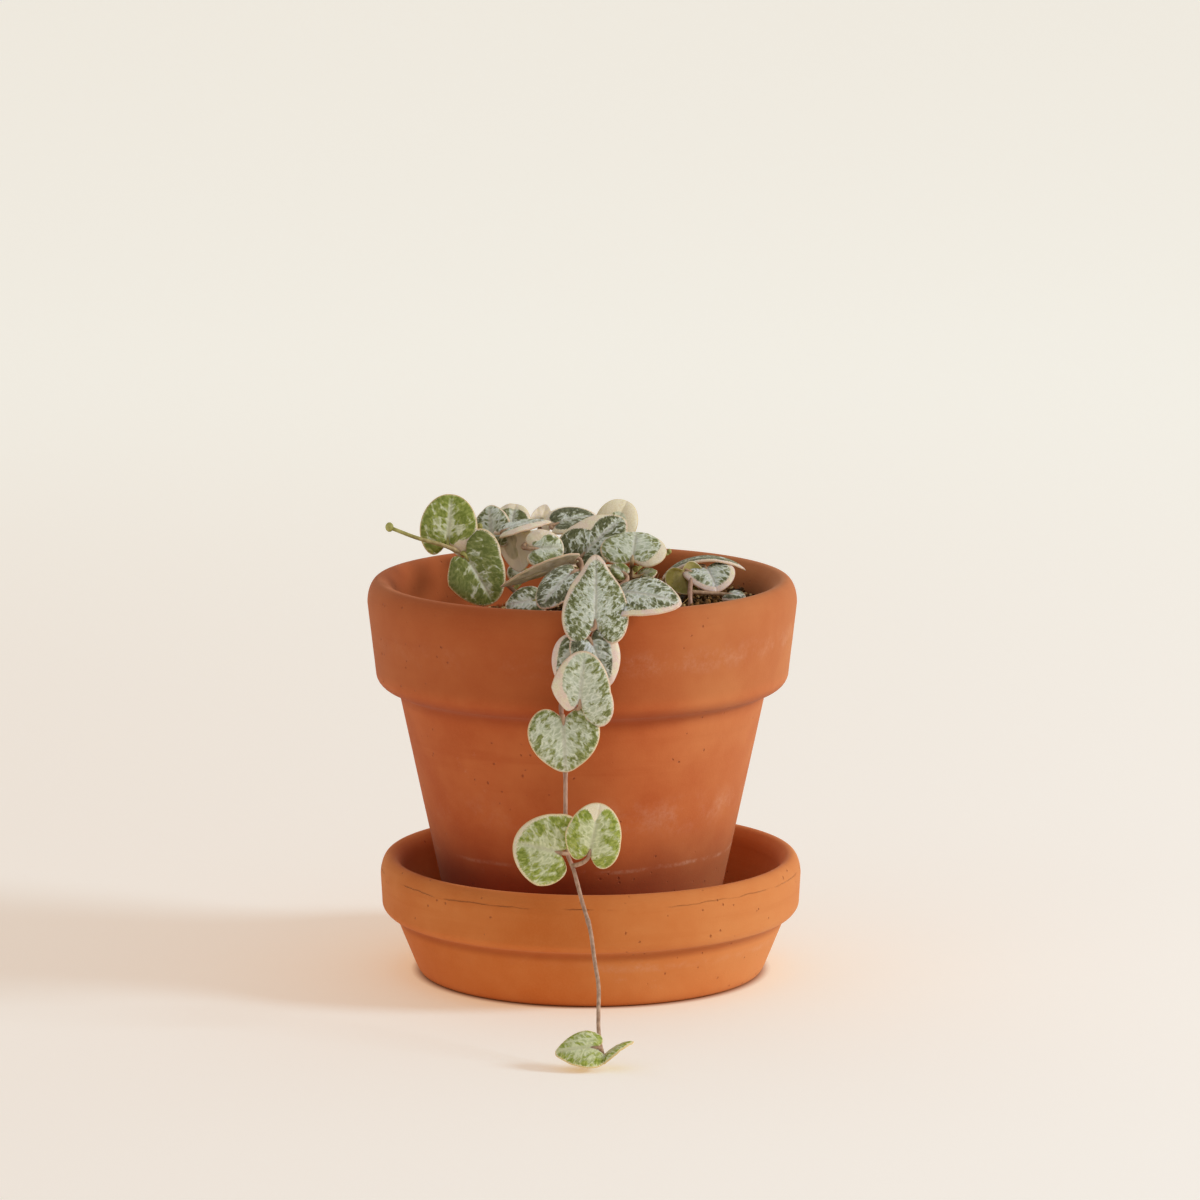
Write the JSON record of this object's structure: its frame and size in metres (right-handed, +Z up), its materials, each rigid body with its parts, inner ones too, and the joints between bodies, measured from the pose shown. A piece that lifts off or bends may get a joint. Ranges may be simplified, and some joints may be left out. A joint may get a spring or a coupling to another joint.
{
  "type": "potted string of hearts plant",
  "caption": "Variegated string of hearts plant with heart-shaped leaves on trailing stems, in a terracotta pot standing in its saucer.",
  "frame": {"origin": "centre of the saucer's flat underside, on the surface that the part stands on", "axes": "+Z up; -Y towards the side where the long stem trails over the rim; +X to that viewer's right"},
  "size_m": [0.1093, 0.1634, 0.1229],
  "materials": {
    "saucer_clay": "matte unglazed clay",
    "pot_clay": "matte unglazed clay with pale mineral marks",
    "potting_mix": "loose dark crumbs",
    "variegated_leaf": "soft satin leaf with silver net and pink-cream margin"
  },
  "bodies": {
    "root": {"saucer": "saucer_clay", "pot": "pot_clay", "soil": "potting_mix", "vine_trailing": "variegated_leaf", "vine_left": "variegated_leaf", "vine_crown_left": "variegated_leaf", "vine_crown_middle": "variegated_leaf", "vine_crown_right": "variegated_leaf", "vine_right": "variegated_leaf", "vine_back": "variegated_leaf"}
  },
  "joints": []
}
